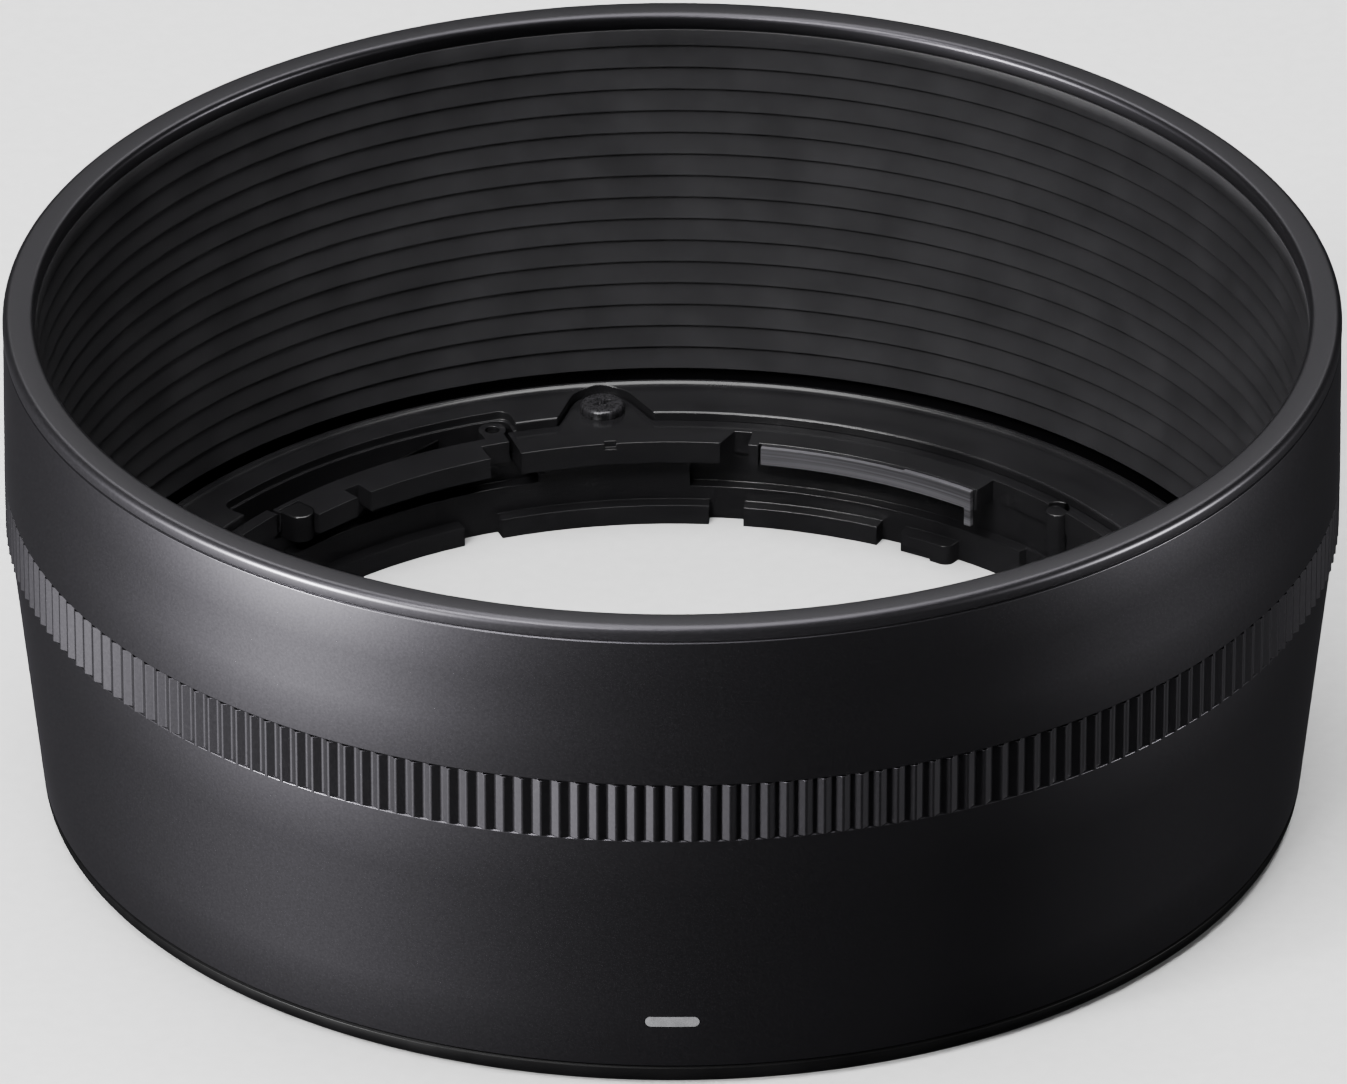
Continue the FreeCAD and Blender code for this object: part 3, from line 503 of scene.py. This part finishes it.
def cut_index_recess(skirt):
    """Sinks the mark's recess into the skirt."""
    cutter = index_recess_cutter()
    cut = skirt.modifiers.new("recess", "BOOLEAN")
    cut.operation = "DIFFERENCE"
    cut.solver = "EXACT"
    cut.object = cutter
    evaluated = skirt.evaluated_get(bpy.context.evaluated_depsgraph_get())
    mesh = bpy.data.meshes.new_from_object(evaluated)
    skirt.modifiers.remove(cut)
    skirt.data = mesh
    bpy.data.objects.remove(cutter)
    shade_smooth(mesh)


# ---- knurl ------------------------------------------------------------------------------
RIBS = 228
RIB_DEPTH = 0.28 * MM
CREST_SHARE = 0.12           # shares of one pitch
FLOOR_SHARE = 0.12
RIB_EASE = 0.035 * MM        # reach of a rib's eased corner, each way
RIB_END_EASE = 0.02 * MM     # chamfer at the ribs' ends


def rib_outline(crest_r):
    """One pitch of the knurl as (share of the pitch, radius), corners eased."""
    pitch = 2 * math.pi * crest_r / RIBS
    flank = (1 - CREST_SHARE - FLOOR_SHARE) / 2
    corners = [
        (0.0, crest_r),
        (CREST_SHARE, crest_r),
        (CREST_SHARE + flank, crest_r - RIB_DEPTH),
        (CREST_SHARE + flank + FLOOR_SHARE, crest_r - RIB_DEPTH),
    ]
    flat = [(share * pitch, r) for share, r in corners]
    shifted = [(flat[-1][0] - pitch, flat[-1][1])] + flat + [(pitch, crest_r)]
    points = []
    for before, here, after in zip(shifted, shifted[1:], shifted[2:]):
        p = Vector(here)
        start = p + (Vector(before) - p).normalized() * RIB_EASE
        end = p + (Vector(after) - p).normalized() * RIB_EASE
        points += [start, (start + end) / 4 + p / 2, end]
    return [(p.x / pitch, p.y) for p in points]


def stacked(name, rings):
    """A closed mesh from rings of points, each joined to the next and the last to the first."""
    count = len(rings[0])
    faces = []
    for level in range(len(rings)):
        here = level * count
        there = (level + 1) % len(rings) * count
        for i in range(count):
            j = (i + 1) % count
            faces.append((here + i, here + j, there + j, there + i))
    mesh = bpy.data.meshes.new(name)
    mesh.from_pydata([v for ring in rings for v in ring], [], faces)
    outward(mesh)
    return mesh


def knurled_ring():
    """The grip ring, with rounded rib edges and eased rib ends."""
    low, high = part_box("grip_ring")
    vertices = frame["nodes"]["grip_ring"].data.vertices
    bore_r = min(math.hypot(v.co.x, v.co.y) for v in vertices)
    pitch = 2 * math.pi / RIBS
    one = rib_outline(high.x)
    rim = [((rib + share) * pitch - math.pi / 2, r) for rib in range(RIBS) for share, r in one]
    levels = [
        (low.z, RIB_END_EASE),
        (low.z + RIB_END_EASE, 0.0),
        (high.z - RIB_END_EASE, 0.0),
        (high.z, RIB_END_EASE),
    ]
    rings = []
    for z, back in levels:
        rings.append([((r - back) * math.cos(a), (r - back) * math.sin(a), z) for a, r in rim])
    for z in (high.z, low.z):
        rings.append([(bore_r * math.cos(a), bore_r * math.sin(a), z) for a, _ in rim])
    mesh = stacked("grip_ring_knurled", rings)
    shade_smooth(mesh, RIB_SHARP_DEGREES)
    return new_piece("grip_ring_knurled", mesh, SLOT_OF["grip_ring"], "grip_ring")


# ---- stage, light and camera --------------------------------------------------------------
def paper_look():
    """Matt, nearly white studio paper."""
    look = Look("floor")
    paper = look.noise(PAPER_SCALE)
    colour = look.ramp(paper, [(NOISE_LOW, PAPER_DARK), (NOISE_HIGH, PAPER_LIGHT)])
    rough = look.spread(paper, 0.75, 0.85)
    return look.finish(colour, rough, look.bump(paper, PAPER_DEPTH), specular=0.2)


def floor():
    """A pale floor, left out of mirror reflections so that the hood's sides stay dark."""
    mesh = bpy.data.meshes.new("floor")
    half = FLOOR_SIZE / 2
    z = cad_low.z - FLOOR_GAP
    corners = [(-half, -half, z), (half, -half, z), (half, half, z), (-half, half, z)]
    mesh.from_pydata(corners, [], [(0, 1, 2, 3)])
    mesh.materials.append(paper_look())
    obj = bpy.data.objects.new("floor", mesh)
    bpy.context.scene.collection.objects.link(obj)
    obj.visible_glossy = False


def softbox(name, bearing, elevation, distance, width, height, power):
    """A rectangular area light that faces the hood."""
    light = bpy.data.lights.new(name, "AREA")
    light.shape = "RECTANGLE"
    light.size = width
    light.size_y = height
    light.energy = power
    obj = bpy.data.objects.new(name, light)
    b, e = math.radians(bearing), math.radians(elevation)
    out = Vector((math.sin(b) * math.cos(e), -math.cos(b) * math.cos(e), math.sin(e)))
    obj.location = Vector((0, 0, LIGHT_AIM_Z)) + out * distance
    obj.rotation_euler = (-out).to_track_quat("-Z", "Y").to_euler()
    bpy.context.scene.collection.objects.link(obj)


def lights():
    """The softboxes and a faint sky."""
    for name, values in SOFTBOXES.items():
        softbox(name, *values)
    world = bpy.data.worlds.new("world")
    world.use_nodes = True
    sky = world.node_tree.nodes["Background"]
    sky.inputs["Color"].default_value = SKY_COLOUR
    sky.inputs["Strength"].default_value = SKY_STRENGTH
    bpy.context.scene.world = world


def camera():
    """A long lens in front of the hood, looking down at it."""
    data = bpy.data.cameras.new("camera")
    data.sensor_width = CAMERA_SENSOR
    data.lens = CAMERA_LENS
    data.shift_x = CAMERA_SHIFT_X
    data.clip_start, data.clip_end = CAMERA_CLIP
    obj = bpy.data.objects.new("camera", data)
    pitch = math.radians(CAMERA_PITCH)
    back = Vector((0, -math.cos(pitch), math.sin(pitch)))
    obj.location = Vector((0, 0, CAMERA_AIM_Z)) + back * CAMERA_DISTANCE
    obj.rotation_euler = (-back).to_track_quat("-Z", "Y").to_euler()
    bpy.context.scene.collection.objects.link(obj)
    bpy.context.scene.camera = obj


camera()
lights()
floor()
turned = {node: turned_piece(node, radius) for node, radius in RING_EASE.items()}
cut_index_recess(turned["rear_skirt"])
knurled_ring()
for smooth_node in SMOOTH_NODES:
    plain_piece(smooth_node)
for eased_node, edge_radius in EDGE_EASE.items():
    eased_piece(eased_node, edge_radius)
paint_everything()
